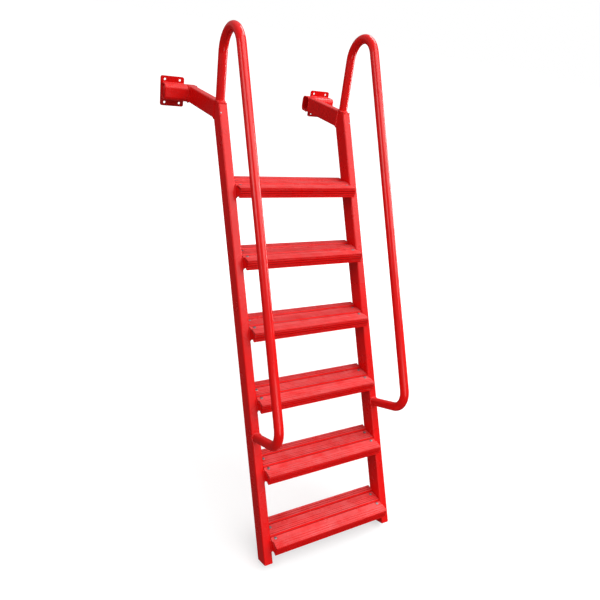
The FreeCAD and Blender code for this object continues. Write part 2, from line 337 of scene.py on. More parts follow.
powder, start, end = new_group("powder_texture", POWDER_INPUTS, ["Height", "Tone"])
place = add_node(powder, "TexCoord").outputs["Object"]
peel = noise(powder, place, start["Peel Scale"], detail=1.5, roughness=0.45)
patch = noise(powder, place, start["Patch Scale"], detail=3.0, roughness=0.6)
speck = noise(powder, place, SPECK_SCALE, detail=2.0)
spread = remap(powder, patch, *PATCH_RANGE)
feed(powder, peel, end["Height"])
feed(powder, calc(powder, "MULTIPLY_ADD", speck, SPECK_SHARE, spread), end["Tone"])

# %% [markdown]
# Treads are extruded, so a die has drawn fine lines along them. The second group stretches a noise along the
# X axis, in which the treads run, until it becomes such lines. The same group gives the treads their faint
# streaks, which the photograph shows on the pads.

# %% Drawn lines group
LINE_INPUTS = [("Across Scale", 320.0), ("Along Scale", 3.0)]
STREAK_SCALE = 0.22
STREAK_RANGE = (0.35, 0.65)

drawn_lines, start, end = new_group("drawn_lines", LINE_INPUTS, ["Height", "Streak"])
stretch = add_node(drawn_lines, "CombineXYZ")
for axis, scale in (("X", "Along Scale"), ("Y", "Across Scale"), ("Z", "Across Scale")):
    feed(drawn_lines, start[scale], stretch.inputs[axis])
scaled = add_node(drawn_lines, "VectorMath", operation="MULTIPLY")
feed(drawn_lines, add_node(drawn_lines, "TexCoord").outputs["Object"], scaled.inputs[0])
feed(drawn_lines, stretch.outputs[0], scaled.inputs[1])
fine = noise(drawn_lines, scaled.outputs[0], 1.0, detail=3.0, roughness=0.6)
coarse = noise(drawn_lines, scaled.outputs[0], STREAK_SCALE, detail=2.0)
feed(drawn_lines, fine, end["Height"])
feed(drawn_lines, remap(drawn_lines, coarse, *STREAK_RANGE), end["Streak"])

# %% [markdown]
# The faces that look up are made a little paler than the others, with a pale pink: this is painted sheen.
# The third group finds those places by the surface's own upward lean, and breaks them up with a noise. It
# is used very weakly.

# %% Painted sheen group
UPWARD_RANGE = (0.55, 1.0)
CLOUD_RANGE = (0.15, 0.62)

# Mask of painted sheen: paler faces that look up.
painted_top_sheen, start, end = new_group("painted_top_sheen", [("Patch Scale", 16.0)], ["Mask"])
lean = add_node(painted_top_sheen, "SeparateXYZ")
feed(painted_top_sheen, add_node(painted_top_sheen, "NewGeometry").outputs["Normal"], lean.inputs[0])
upward = remap(painted_top_sheen, lean.outputs["Z"], *UPWARD_RANGE)
place = add_node(painted_top_sheen, "TexCoord").outputs["Object"]
cloud = noise(painted_top_sheen, place, start["Patch Scale"], detail=4.0, roughness=0.65)
thin = remap(painted_top_sheen, cloud, *CLOUD_RANGE)
feed(painted_top_sheen, calc(painted_top_sheen, "MULTIPLY", upward, thin), end["Mask"])

# %% [markdown]
# The treads are darkened in their grooves, in front of the little steps behind their channels and along
# their ends: this is painted shade. One more group gives its mask, which is 1 where the painted shade lies.
# The treads stand a fixed distance apart, so the height within one step tells how far a point lies below its
# tread's top. The two bands and ON_TOP are shares of that step: the joint is from 2 to 7 mm down, the
# channels' floor 5 mm.
# ROUNDING_ROOM keeps a point exactly at a tread's top from counting as just under it. FLAT tells how squarely
# a face has to look up, forward or sideways to count.
# Places on a tread are measured back from the stringers' front line, which leans by 30.9 degrees and lies
# 59 mm behind the nose at the level of the tread's top. The mask is 1 on faces that look forward, on the
# CAD's own pad faces, which show only between the grip lands, in the band across the ends, and on the last
# 7 mm of the channels' floors before each step.

# %% Painted groove shade group
LEAN = math.radians(30.9)
SLOPE = math.tan(LEAN)
NOSE_REACH = 0.059
CHANNEL_FLOOR = -0.0050
MIDDLE_PAD_FRONT = 0.0080
BACK_PAD_FRONT = 0.0670
FLAT = 0.9
ON_TOP = 0.006
JOINT_BAND = (0.984, 0.010)
CHANNEL_BAND = (0.9823, 0.003)
ROUNDING_ROOM = 0.0005
CORNER_STRIP = 0.007

first_low, first_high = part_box("tread_1")
front_line = first_low.y + NOSE_REACH - (first_high.z + CHANNEL_FLOOR) * SLOPE
PAINTED_SHADE_INPUTS = [("Step", 0.254), ("First Top", -0.242), ("Slope", SLOPE), ("Line", front_line)]

# Mask of painted shade: the treads' grooves, joints and the corners before the steps.
painted_groove_shade, start, end = new_group("painted_groove_shade", PAINTED_SHADE_INPUTS, ["Mask"])
place = add_node(painted_groove_shade, "SeparateXYZ")
feed(painted_groove_shade, add_node(painted_groove_shade, "TexCoord").outputs["Object"], place.inputs[0])
facing = add_node(painted_groove_shade, "SeparateXYZ")
feed(painted_groove_shade, add_node(painted_groove_shade, "NewGeometry").outputs["True Normal"], facing.inputs[0])
upward = calc(painted_groove_shade, "GREATER_THAN", facing.outputs["Z"], FLAT)
forward = calc(painted_groove_shade, "LESS_THAN", facing.outputs["Y"], -FLAT)
sideways = calc(painted_groove_shade, "ABSOLUTE", facing.outputs["X"])
end_face = calc(painted_groove_shade, "GREATER_THAN", sideways, FLAT)

above_first = calc(painted_groove_shade, "SUBTRACT", place.outputs["Z"], start["First Top"])
raised = calc(painted_groove_shade, "ADD", above_first, ROUNDING_ROOM)
share = calc(painted_groove_shade, "FRACT", calc(painted_groove_shade, "DIVIDE", raised, start["Step"]))
pad = calc(painted_groove_shade, "MULTIPLY", calc(painted_groove_shade, "LESS_THAN", share, ON_TOP), upward)
joint = calc(painted_groove_shade, "MULTIPLY", calc(painted_groove_shade, "COMPARE", share, *JOINT_BAND), end_face)
channel = calc(painted_groove_shade, "MULTIPLY", calc(painted_groove_shade, "COMPARE", share, *CHANNEL_BAND), upward)

leaned = calc(painted_groove_shade, "MULTIPLY", place.outputs["Z"], start["Slope"])
behind_line = calc(painted_groove_shade, "SUBTRACT", place.outputs["Y"], leaned)
from_front = calc(painted_groove_shade, "SUBTRACT", behind_line, start["Line"])
mask = calc(painted_groove_shade, "MAXIMUM", calc(painted_groove_shade, "MAXIMUM", pad, forward), joint)
for step_face in (MIDDLE_PAD_FRONT, BACK_PAD_FRONT):
    short_of_it = calc(painted_groove_shade, "SUBTRACT", step_face, from_front)
    before = calc(painted_groove_shade, "GREATER_THAN", short_of_it, 0.0)
    near = calc(painted_groove_shade, "LESS_THAN", short_of_it, CORNER_STRIP)
    strip = calc(painted_groove_shade, "MULTIPLY", calc(painted_groove_shade, "MULTIPLY", before, near), channel)
    mask = calc(painted_groove_shade, "MAXIMUM", mask, strip)
feed(painted_groove_shade, mask, end["Mask"])

# %% [markdown]
# The coat itself. Its red is strong and almost without green or blue, so the gloss on top has to stay weak
# or the red turns pink. The tone from the powder group darkens the red a little where the coat is thick and
# moves the roughness with it. A Bevel node rounds the edges of the tubes in the shading only, as paint does
# when it melts, and the orange peel is a bump on top of that. Three choices match the picture and say
# nothing about the real coat. The handrails get a smoother and shinier coat, so that the lamps draw clear
# streaks on them. The bracket plates get a darker red, which is painted shade: in the ladder's red they came
# out about 40 % brighter than in the photograph. The noses get less sheen than the pads.

# %% Painted materials
PEEL_DEPTH = 0.00008
RAIL_PEEL_DEPTH = 0.00002
LINE_DEPTH = 0.0002
TONE_MOST = 1.3
SMOOTHER = 0.04
ROUGHER = 0.06
THICK_SHADE = (0.86, 0.8)
STREAK_SHADE = (0.72, 0.7)
# Shares of the red left where the painted shade lies.
PAINTED_SHADE_SHARES = (0.40, 0.5)
# Pale pink of the painted sheen on faces that look up.
PAINTED_SHEEN_COLOUR = (0.88, 0.42, 0.43, 1)
SIGNAL_RED = (0.88, 0.0045, 0.0040)
# Darker red for the bracket plates: painted shade.
SHADED_PLATE_RED = (0.63, 0.0035, 0.0030)


def group_node(tree, group, **values):
    """Places a node group in a material, sets its inputs and gives its outputs."""
    node = add_node(tree, "Group")
    node.node_tree = group
    for name, value in values.items():
        node.inputs[name.replace("_", " ")].default_value = value
    return node.outputs


def shade(red, shares):
    """Darker red, by one share of its red and another of the rest."""
    return (red[0] * shares[0], red[1] * shares[1], red[2] * shares[1], 1)


def powder_coat(name, red, gloss, sheen, edge, painted_sheen=0.0, streak=0.0, painted_shade=0.0, peel=PEEL_DEPTH):
    """Painted material: colour, mean roughness, rounding of edges in metres, and weights of its effects."""
    coat = bpy.data.materials.new(name)
    coat.use_nodes = True
    tree = coat.node_tree
    shader = tree.nodes["Principled BSDF"]
    shader.inputs["Specular IOR Level"].default_value = sheen
    texture = group_node(tree, powder)
    drawn = group_node(tree, drawn_lines)
    top_sheen = group_node(tree, painted_top_sheen)
    groove = group_node(tree, painted_groove_shade)

    colour = mix_colours(tree, texture["Tone"], (*red, 1), shade(red, THICK_SHADE))
    weight = calc(tree, "MULTIPLY", drawn["Streak"], streak)
    colour = mix_colours(tree, weight, colour, shade(red, STREAK_SHADE))
    # Painted sheen: pale pink on faces that look up.
    weight = calc(tree, "MULTIPLY", top_sheen["Mask"], painted_sheen)
    colour = mix_colours(tree, weight, colour, PAINTED_SHEEN_COLOUR)
    # Painted shade: a darker red where the groove mask is 1.
    weight = calc(tree, "MULTIPLY", groove["Mask"], painted_shade)
    colour = mix_colours(tree, weight, colour, shade(red, PAINTED_SHADE_SHARES))
    feed(tree, colour, shader.inputs["Base Color"])

    rough = remap(tree, texture["Tone"], 0.0, TONE_MOST, gloss - SMOOTHER, gloss + ROUGHER)
    feed(tree, rough, shader.inputs["Roughness"])
    rounded = add_node(tree, "Bevel", samples=6, Radius=edge)
    lines_bump = add_node(tree, "Bump", Distance=LINE_DEPTH if streak else 0.0)
    feed(tree, drawn["Height"], lines_bump.inputs["Height"])
    feed(tree, rounded.outputs[0], lines_bump.inputs["Normal"])
    peel_bump = add_node(tree, "Bump", Distance=peel)
    feed(tree, texture["Height"], peel_bump.inputs["Height"])
    feed(tree, lines_bump.outputs[0], peel_bump.inputs["Normal"])
    feed(tree, peel_bump.outputs[0], shader.inputs["Normal"])
    return coat


frame_coat = powder_coat("frame_powder_coat", SIGNAL_RED, gloss=0.26, sheen=0.34, edge=0.0015, painted_sheen=0.13)
rail_coat = powder_coat(
    "rail_powder_coat", SIGNAL_RED, gloss=0.17, sheen=0.50, edge=0.0010, painted_sheen=0.10, peel=RAIL_PEEL_DEPTH
)
# The bracket plates' darker red is painted shade.
shaded_plate_coat = powder_coat("plate_coat_painted_shade", SHADED_PLATE_RED, gloss=0.26, sheen=0.16, edge=0.0015)
# The tread coat carries the painted shade at 0.9.
tread_coat = powder_coat(
    "tread_powder_coat", SIGNAL_RED, gloss=0.26, sheen=0.34, edge=0.0008,
    painted_sheen=0.22, streak=0.25, painted_shade=0.9,
)
grip_coat = powder_coat(
    "grip_powder_coat", SIGNAL_RED, gloss=0.34, sheen=0.34, edge=0.0006,
    painted_sheen=0.21, streak=0.45,
)
nose_coat = powder_coat("nose_powder_coat", SIGNAL_RED, gloss=0.30, sheen=0.14, edge=0.0006, streak=0.45)

OWN_COATS = {"tread": tread_coat, "handrail": rail_coat, "bracket_plate": shaded_plate_coat}
for name, node in nodes.items():
    coat = frame_coat
    for start_of_name, own_coat in OWN_COATS.items():
        if name.startswith(start_of_name):
            coat = own_coat
    for slot in node.material_slots:
        slot.material = coat
print("painted", len(nodes), "nodes")

# %% [markdown]
# The tread screws are made as bare stainless steel, with a fine grain and a little dullness. The nuts and
# the two rivets are made as zinc plate, greyer and rougher.

# %% Steel materials
STEEL_PATCH_SCALE = 160.0
STEEL_SHADE = (0.72, 0.74, 0.76)
GRAIN_DEPTH = 0.00005
STEEL_SMOOTHER = 0.08
STEEL_ROUGHER = 0.12


def bare_steel(name, tint, dullness, grain):
    """Metal with a fine grain in its roughness and bump."""
    steel = bpy.data.materials.new(name)
    steel.use_nodes = True
    tree = steel.node_tree
    shader = tree.nodes["Principled BSDF"]
    shader.inputs["Metallic"].default_value = 1.0
    texture = group_node(tree, powder, Peel_Scale=grain, Patch_Scale=STEEL_PATCH_SCALE)
    darker = (*(value * share for value, share in zip(tint, STEEL_SHADE)), 1)
    colour = mix_colours(tree, texture["Tone"], (*tint, 1), darker)
    feed(tree, colour, shader.inputs["Base Color"])
    least, most = dullness - STEEL_SMOOTHER, dullness + STEEL_ROUGHER
    rough = remap(tree, texture["Tone"], 0.0, TONE_MOST, least, most)
    feed(tree, rough, shader.inputs["Roughness"])
    bump = add_node(tree, "Bump", Distance=GRAIN_DEPTH)
    feed(tree, texture["Height"], bump.inputs["Height"])
    feed(tree, bump.outputs[0], shader.inputs["Normal"])
    return steel


stainless = bare_steel("stainless_steel", (0.42, 0.50, 0.52), dullness=0.30, grain=1800.0)
zinc = bare_steel("zinc_plate", (0.60, 0.62, 0.64), dullness=0.42, grain=1200.0)
print("steels:", stainless.name, zinc.name)

# %% [markdown]
# Pieces are shaped in edit mode, where the part of the mesh to work on is picked in code by its place or its
# direction. These helpers do that picking, start each primitive on a clean selection, put a finished piece's
# place into its mesh so that its object sits at the origin, and count the pieces of one kind.

# %% Modelling helpers
LEVEL_WITHIN = 1e-6
ANY_HEIGHT = -1.0


def begin():
    """Object mode with nothing selected, before a new primitive."""
    if bpy.context.object and bpy.context.object.mode != "OBJECT":
        bpy.ops.object.mode_set(mode="OBJECT")
    bpy.ops.object.select_all(action="DESELECT")


def cylinder(vertices, radius, depth, middle=0.0):
    """New cylinder along Z with its middle at a height."""
    begin()
    place = (0, 0, middle)
    bpy.ops.mesh.primitive_cylinder_add(vertices=vertices, radius=radius, depth=depth, location=place)
    return bpy.context.object


def level_rim(height):
    """Test for edges that lie level above a height."""
    return lambda middle, along: middle.z > height and abs(along.z) < LEVEL_WITHIN


def press_in(inset, depth):
    """Insets the picked faces and draws them down along Z."""
    bpy.ops.mesh.inset(thickness=inset)
    bpy.ops.mesh.extrude_region_move(TRANSFORM_OT_translate={"value": (0, 0, -depth)})


def pick(kind, test):
    """Selects the active mesh's faces, edges or vertices that pass a test, in edit mode."""
    bpy.ops.mesh.select_mode(type=kind)
    bpy.ops.mesh.select_all(action="DESELECT")
    mesh = bpy.context.object.data
    shape = bmesh.from_edit_mesh(mesh)
    if kind == "VERT":
        for vert in shape.verts:
            vert.select = test(vert.co)
    if kind == "EDGE":
        for edge in shape.edges:
            ends = [vert.co for vert in edge.verts]
            edge.select = test((ends[0] + ends[1]) / 2, ends[1] - ends[0])
    if kind == "FACE":
        for face in shape.faces:
            face.select = test(face.calc_center_median(), face.normal)
    shape.select_flush_mode()
    bmesh.update_edit_mesh(mesh)


def cut_away(piece, cutter):
    """Subtracts one object from another and deletes it."""
    begin()
    piece.select_set(True)
    bpy.context.view_layer.objects.active = piece
    modifier = piece.modifiers.new("cut", "BOOLEAN")
    modifier.object = cutter
    modifier.solver = "EXACT"
    bpy.ops.object.modifier_apply(modifier=modifier.name)
    bpy.data.objects.remove(cutter)


def settle(piece, name, material, angle=40):
    """Names and paints a finished piece, smooths it, and puts its place into its mesh."""
    begin()
    piece.select_set(True)
    bpy.context.view_layer.objects.active = piece
    bpy.ops.object.transform_apply(location=True, rotation=True, scale=True)
    bpy.ops.object.shade_smooth_by_angle(angle=math.radians(angle))
    piece.name = name
    piece.data.name = name
    piece.data.materials.clear()
    piece.data.materials.append(material)
    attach(piece, "root")
    return piece


def copy_to(piece, name, move, mirror=False):
    """Copy with its own mesh, moved, or mirrored left to right about its own x 0 first."""
    twin = piece.copy()
    twin.data = piece.data.copy()
    bpy.context.scene.collection.objects.link(twin)
    if mirror:
        twin.data.transform(Matrix.Diagonal((-1, 1, 1, 1)))
        twin.data.flip_normals()
    twin.data.transform(Matrix.Translation(move))
    twin.name = name
    twin.data.name = name
    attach(twin, "root")


def made(start_of_name):
    """Number of pieces whose names start so."""
    return sum(name.startswith(start_of_name) for name in bpy.data.objects.keys())


print("modelling helpers ready")

# %% [markdown]
# Every added piece is placed from the CAD boxes. The treads give the two lines that matter: the level of
# each tread's top, and the stringers' front line at that level, which lies 59 mm behind the nose. Places on
# a tread are measured from where the two meet, back along Y and up along Z. The stringers lean by 30.9
# degrees, so directions along and out of their front faces come from that angle.

# %% Places taken from the frame
TREADS = 6
SIDES = {"left": -1, "right": 1}
down_slope = Vector((0, -math.sin(LEAN), -math.cos(LEAN)))
out_of_front = Vector((0, -math.cos(LEAN), math.sin(LEAN)))

tread_places = []
for i in range(TREADS):
    low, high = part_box(f"tread_{i + 1}")
    tread_places.append(Vector((0, low.y + NOSE_REACH, high.z)))
stringer_boxes = {side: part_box(f"stringer_{side}") for side in SIDES}
inner_x = {"left": stringer_boxes["left"][1].x, "right": stringer_boxes["right"][0].x}
middle_x = {side: (stringer_boxes[side][0].x + stringer_boxes[side][1].x) / 2 for side in SIDES}


def front_line_y(z):
    """Y of the stringers' front faces at a height."""
    return tread_places[0].y + (z - tread_places[0].z) * SLOPE


print("tread tops:", [round(p.z, 3) for p in tread_places], "inner faces:", inner_x)

# %% [markdown]
# Each tread is held by four button-head screws that stand in its two smooth channels. A button head is a low
# dome with a hexagon socket. It starts as a short cylinder whose upper rim is beveled round, the shank is
# drawn out of its underside by inset and extrude, and its thread is a few rings that swell and shrink in
# turn. The socket is cut with a six-sided cylinder. Only the domes show in the picture.

# %% Tread screw
HEAD_RADIUS = 0.0063
HEAD_HEIGHT = 0.0036
DOME = 0.0026
SHANK_RADIUS = 0.0030
SHANK_PLAIN = 0.0100
THREAD_STEP = 0.0005
THREAD_TURNS = 7
THREAD_ROOT = 0.84
TIP = 0.7
SOCKET_RADIUS = 0.0024
SOCKET_DEPTH = 0.0044


def next_ring(factor):
    """Draws the shank's end on by one step and resizes it."""
    bpy.ops.mesh.extrude_region_move(TRANSFORM_OT_translate={"value": (0, 0, -THREAD_STEP)})
    bpy.ops.transform.resize(value=(factor, factor, 1))


screw = cylinder(36, HEAD_RADIUS, HEAD_HEIGHT, HEAD_HEIGHT / 2)
bpy.ops.object.transform_apply(location=True)
bpy.ops.object.mode_set(mode="EDIT")
pick("EDGE", level_rim(HEAD_HEIGHT * 0.9))
bpy.ops.mesh.bevel(offset=DOME, segments=5, affect="EDGES")
pick("FACE", lambda middle, normal: normal.z < -0.9)
press_in(HEAD_RADIUS - SHANK_RADIUS, SHANK_PLAIN)
for factor in (THREAD_ROOT, 1 / THREAD_ROOT) * THREAD_TURNS:
    next_ring(factor)
next_ring(TIP)
bpy.ops.object.mode_set(mode="OBJECT")
cut_away(screw, cylinder(6, SOCKET_RADIUS, SOCKET_DEPTH, HEAD_HEIGHT))
print("screw faces:", len(screw.data.polygons))

# %% [markdown]
# Under the cleat each screw ends in a hexagon nut. It starts as a six-sided cylinder whose upper and lower
# rims are beveled, and its hole is cut with a round one.

# %% Nut
NUT_RADIUS = 0.00577
NUT_HEIGHT = 0.0050
NUT_BORE = 0.0027
NUT_EDGE = 0.0006

nut = cylinder(6, NUT_RADIUS, NUT_HEIGHT, -NUT_HEIGHT / 2)
bpy.ops.object.transform_apply(location=True)
bpy.ops.object.mode_set(mode="EDIT")
pick("EDGE", level_rim(ANY_HEIGHT))
bpy.ops.mesh.bevel(offset=NUT_EDGE, segments=2, affect="EDGES")
bpy.ops.object.mode_set(mode="OBJECT")
cut_away(nut, cylinder(24, NUT_BORE, 4 * NUT_HEIGHT, -NUT_HEIGHT / 2))
print("nut faces:", len(nut.data.polygons))

# %% [markdown]
# Each tread takes four screws, two at each end, one in each channel, and a nut under the cleat for each. The
# finished screw and nut are patterns. They are copied to their places, which are measured from the tread's
# front line and top, and then removed.

# %% Screws and nuts in place
CLEAT_UNDERSIDE = -0.0138
SCREW_FROM_MIDDLE = 0.262
SCREW_ROWS = (-0.008, 0.048)
ladder_middle_x = (inner_x["left"] + inner_x["right"]) / 2

settle(screw, "tread_screw_pattern", stainless)
settle(nut, "nut_pattern", zinc)
for number, place in enumerate(tread_places, 1):
    for side, sign in SIDES.items():
        for row, back in zip(("front", "back"), SCREW_ROWS):
            spot = Vector((ladder_middle_x + sign * SCREW_FROM_MIDDLE, place.y + back, place.z))
            tag = f"{number}_{side}_{row}"
            copy_to(screw, "tread_screw_" + tag, spot + Vector((0, 0, CHANNEL_FLOOR)))
            copy_to(nut, "nut_" + tag, spot + Vector((0, 0, CLEAT_UNDERSIDE)))
bpy.data.objects.remove(screw)
bpy.data.objects.remove(nut)
print("screws:", made("tread_screw"), "nuts:", made("nut"))

# %% [markdown]
# The treads are extruded with shallow grooves for grip, about ten millimetres apart, on their three pads and
# down the front of the nose. They are made as the lands between the grooves: a plane is cut across at every
# groove with the bisect tool, the strips that are grooves are deleted, and a Solidify modifier gives the rest
# their height, which leaves closed strips. A Bevel modifier rounds their edges, so that they catch the light.

# %% Grip lands
LAND_RISE = 0.0014
LAND_SINK = 0.0002
PAD_LANDS = (
    (-0.0588, -0.0554), (-0.0524, -0.0450), (-0.0420, -0.0346), (-0.0316, -0.0226),
    (MIDDLE_PAD_FRONT, 0.0126), (0.0156, 0.0216), (0.0246, 0.0306), (0.0336, 0.0380),
    (BACK_PAD_FRONT, 0.0726), (0.0756, 0.0831), (0.0861, 0.0956),
)
NOSE_LANDS = (
    (-0.0412, -0.0337), (-0.0303, -0.0247), (-0.0213, -0.0157),
    (-0.0123, -0.0067), (-0.0033, -0.0004),
)
END_MARGIN = 0.0005
LAND_EDGE = 0.0003


def lay_lands(spans, length):
    """Closed strips over the given spans of Y, from x 0 to the length, standing up from z 0."""
    begin()
    first, last = spans[0][0], spans[-1][1]
    bpy.ops.mesh.primitive_plane_add(size=1, location=(length / 2, (first + last) / 2, -LAND_SINK))
    strips = bpy.context.object
    strips.scale = (length, last - first, 1)
    bpy.ops.object.transform_apply(location=True, scale=True)
    bpy.ops.object.mode_set(mode="EDIT")
    for (_, groove_from), (groove_to, _) in zip(spans, spans[1:]):
        for edge in (groove_from, groove_to):
            bpy.ops.mesh.select_all(action="SELECT")
            bpy.ops.mesh.bisect(plane_co=(0, edge, 0), plane_no=(0, 1, 0))
    pick("FACE", lambda middle, normal: not any(a < middle.y < b for a, b in spans))
    bpy.ops.mesh.delete(type="FACE")
    bpy.ops.object.mode_set(mode="OBJECT")
    thicken = strips.modifiers.new("height", "SOLIDIFY")
    thicken.thickness = LAND_RISE + LAND_SINK
    thicken.offset = 1
    soften = strips.modifiers.new("edges", "BEVEL")
    soften.width = LAND_EDGE
    soften.segments = 2
    bpy.ops.object.modifier_apply(modifier=thicken.name)
    bpy.ops.object.modifier_apply(modifier=soften.name)
    return strips


tread_low, tread_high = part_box("tread_1")
land_length = tread_high.x - tread_low.x - 2 * END_MARGIN
pad_lands = settle(lay_lands(PAD_LANDS, land_length), "pad_lands_pattern", grip_coat, angle=30)
nose_lands = lay_lands(NOSE_LANDS, land_length)
nose_lands.rotation_euler = (math.radians(90), 0, 0)
settle(nose_lands, "nose_lands_pattern", nose_coat, angle=30)
for number, place in enumerate(tread_places, 1):
    corner = Vector((tread_low.x + END_MARGIN, place.y, place.z))
    copy_to(pad_lands, f"pad_lands_{number}", corner)
    copy_to(nose_lands, f"nose_lands_{number}", corner - Vector((0, NOSE_REACH, 0)))
print("faces in a tread's lands:", len(pad_lands.data.polygons) + len(nose_lands.data.polygons))
bpy.data.objects.remove(pad_lands)
bpy.data.objects.remove(nose_lands)

# %% [markdown]
# The side of each tread is closed in front of the stringer. The cleat runs forward, and a small web joins it
# to the back of the nose, so that seen from the side there is no slit between them. The web starts as a
# cube that is brought to size. Its upright edges are beveled, and its underside is inset and drawn down a
# little, so that it isn't quite flat.

# %% Nose webs
WEB_THICKNESS = 0.0048
WEB_FROM = -0.0556
WEB_TO = -0.0446
WEB_TOP = -0.0092
WEB_BOTTOM = -0.0382
WEB_EDGE = 0.0005
CROWN_INSET = 0.0004
CROWN = 0.0002

begin()
bpy.ops.mesh.primitive_cube_add(size=1)
web = bpy.context.object
web.scale = (WEB_THICKNESS, WEB_TO - WEB_FROM, WEB_TOP - WEB_BOTTOM)
web.location = (WEB_THICKNESS / 2, (WEB_TO + WEB_FROM) / 2, (WEB_TOP + WEB_BOTTOM) / 2)
bpy.ops.object.transform_apply(location=True, scale=True)
bpy.ops.object.mode_set(mode="EDIT")
pick("EDGE", lambda middle, along: abs(along.z) > 0.01)
bpy.ops.mesh.bevel(offset=WEB_EDGE, segments=2, affect="EDGES")
pick("FACE", lambda middle, normal: normal.z < -0.9)
bpy.ops.mesh.inset(thickness=CROWN_INSET)
bpy.ops.transform.translate(value=(0, 0, -CROWN))
settle(web, "nose_web_pattern", frame_coat)
for number, place in enumerate(tread_places, 1):
    for side, sign in SIDES.items():
        spot = Vector((inner_x[side], place.y, place.z))
        copy_to(web, f"nose_web_{number}_{side}", spot, mirror=side == "right")
bpy.data.objects.remove(web)
print("webs:", made("nose_web"))

# %% [markdown]
# The frame is welded aluminium. A weld bead is a round rope of metal with ripples a little over two
# millimetres apart. Each bead follows a path of short edges, two to a ripple: the path becomes a curve with
# a round section, the curve becomes a mesh again, and every second ring is then swollen a little. The ends
# of an open bead are drawn in.

# %% Bead helpers
RIPPLE = 0.0022
SWELL = 0.00035
END_SIZE = 0.5
MERGE_WITHIN = 0.00001


def lay_bead(path, radius, swell=SWELL, closed=True):
    """Turns a path of edges, each half a ripple long, into a rippled weld bead."""
    begin()
    path.select_set(True)
    bpy.context.view_layer.objects.active = path
    bpy.ops.object.transform_apply(location=True, rotation=True, scale=True)
    bpy.ops.object.convert(target="CURVE")
    bead = bpy.context.object
    bead.data.bevel_depth = radius
    bead.data.bevel_resolution = 2
    bead.data.use_fill_caps = not closed
    points = [point.co.to_3d() for point in bead.data.splines[0].points]
    tree = KDTree(len(points))
    for index, point in enumerate(points):
        tree.insert(point, index)
    tree.balance()
    bpy.ops.object.convert(target="MESH")
    bead = bpy.context.object
    bpy.ops.object.mode_set(mode="EDIT")
    bpy.ops.mesh.select_all(action="SELECT")
    bpy.ops.mesh.remove_doubles(threshold=MERGE_WITHIN)
    bpy.ops.mesh.normals_make_consistent(inside=False)
    pick("VERT", lambda place: tree.find(place)[1] % 2 == 0)
    bpy.ops.transform.shrink_fatten(value=swell)
    if not closed:
        last = len(points) - 1
        for index in (0, last):
            pick("VERT", lambda place: tree.find(place)[1] == index)
            bpy.ops.transform.resize(value=(END_SIZE, END_SIZE, END_SIZE), center_override=points[index])
    bpy.ops.object.mode_set(mode="OBJECT")
    return bead


def straight_path(length):
    """Edge along X from the origin, cut into half ripples."""
    begin()
    bpy.ops.mesh.primitive_plane_add(size=length, location=(length / 2, length / 2, 0))
    path = bpy.context.object
    bpy.ops.object.transform_apply(location=True)
    bpy.ops.object.mode_set(mode="EDIT")
    pick("VERT", lambda place: place.y > length / 2)
    bpy.ops.mesh.delete(type="VERT")
    bpy.ops.mesh.select_all(action="SELECT")
    bpy.ops.mesh.subdivide(number_cuts=max(2, round(length / RIPPLE * 2) - 1))
    bpy.ops.object.mode_set(mode="OBJECT")
    return path


def ring_path(radius, squeeze):
    """Circle in the XY plane round the origin, cut into half ripples and squeezed along X."""
    begin()
    steps = 2 * round(math.pi * radius / RIPPLE)
    bpy.ops.mesh.primitive_circle_add(vertices=steps, radius=radius)
    path = bpy.context.object
    path.scale = (squeeze, 1, 1)
    bpy.ops.object.transform_apply(scale=True)
    return path


def rounded_path(width, height, corner):
    """Rounded rectangle in the XY plane round the origin, cut into half ripples."""
    begin()
    bpy.ops.mesh.primitive_plane_add(size=1)
    path = bpy.context.object
    path.scale = (width, height, 1)
    bpy.ops.object.transform_apply(scale=True)
    bpy.ops.object.mode_set(mode="EDIT")
    bpy.ops.mesh.select_all(action="SELECT")
    steps = max(2, round(corner * math.pi / RIPPLE))
    bpy.ops.mesh.bevel(offset=corner, segments=steps, affect="VERTICES")
    bpy.ops.mesh.select_all(action="SELECT")
    bpy.ops.mesh.delete(type="ONLY_FACE")
    for axis, side in ((0, width), (1, height)):
        run = side - 2 * corner
        pick("EDGE", lambda middle, along: abs(along[axis]) > run * 0.9)
        bpy.ops.mesh.subdivide(number_cuts=2 * round(run / RIPPLE) - 1)
    bpy.ops.object.mode_set(mode="OBJECT")
    return path


print("bead helpers ready")

# %% [markdown]
# Under each tread's end an upright bead fills the corner between the stringer's rounded front edge and the
# cleat. In the photograph it is a pale strip just inside the stringer's edge. It is laid once along the
# slope, copied to the six left treads and mirrored to the six right ones. A thinner bead runs under the
# cleat along the stringer's inner face.

# %% Cleat beads
CLEAT_TOP = -0.009
CLEAT_HEIGHT = 0.0440
CLEAT_DROP = 0.0095
FRONT_BEAD_LENGTH = 0.0500
FRONT_BEAD_RADIUS = 0.0040
FRONT_BEAD_INTO_STRINGER = 0.0022
FRONT_BEAD_BEHIND_FRONT = 0.0006
UNDER_BEAD_LENGTH = 0.068
UNDER_BEAD_RADIUS = 0.0030
UNDER_BEAD_PLACE = (0.0012, 0.0060)

path = straight_path(FRONT_BEAD_LENGTH)
path.rotation_euler = down_slope.to_track_quat("X", "Z").to_euler()
corner = Vector((-FRONT_BEAD_INTO_STRINGER, 0, 0)) - out_of_front * FRONT_BEAD_BEHIND_FRONT
path.location = corner + down_slope * (CLEAT_DROP / math.cos(LEAN))
front_bead = lay_bead(path, FRONT_BEAD_RADIUS, closed=False)
settle(front_bead, "cleat_front_bead_pattern", frame_coat)

path = straight_path(UNDER_BEAD_LENGTH)
path.rotation_euler = (0, 0, math.radians(90))
path.location = (*UNDER_BEAD_PLACE, CLEAT_TOP - CLEAT_HEIGHT)
under_bead = lay_bead(path, UNDER_BEAD_RADIUS, closed=False)
settle(under_bead, "cleat_under_bead_pattern", frame_coat)

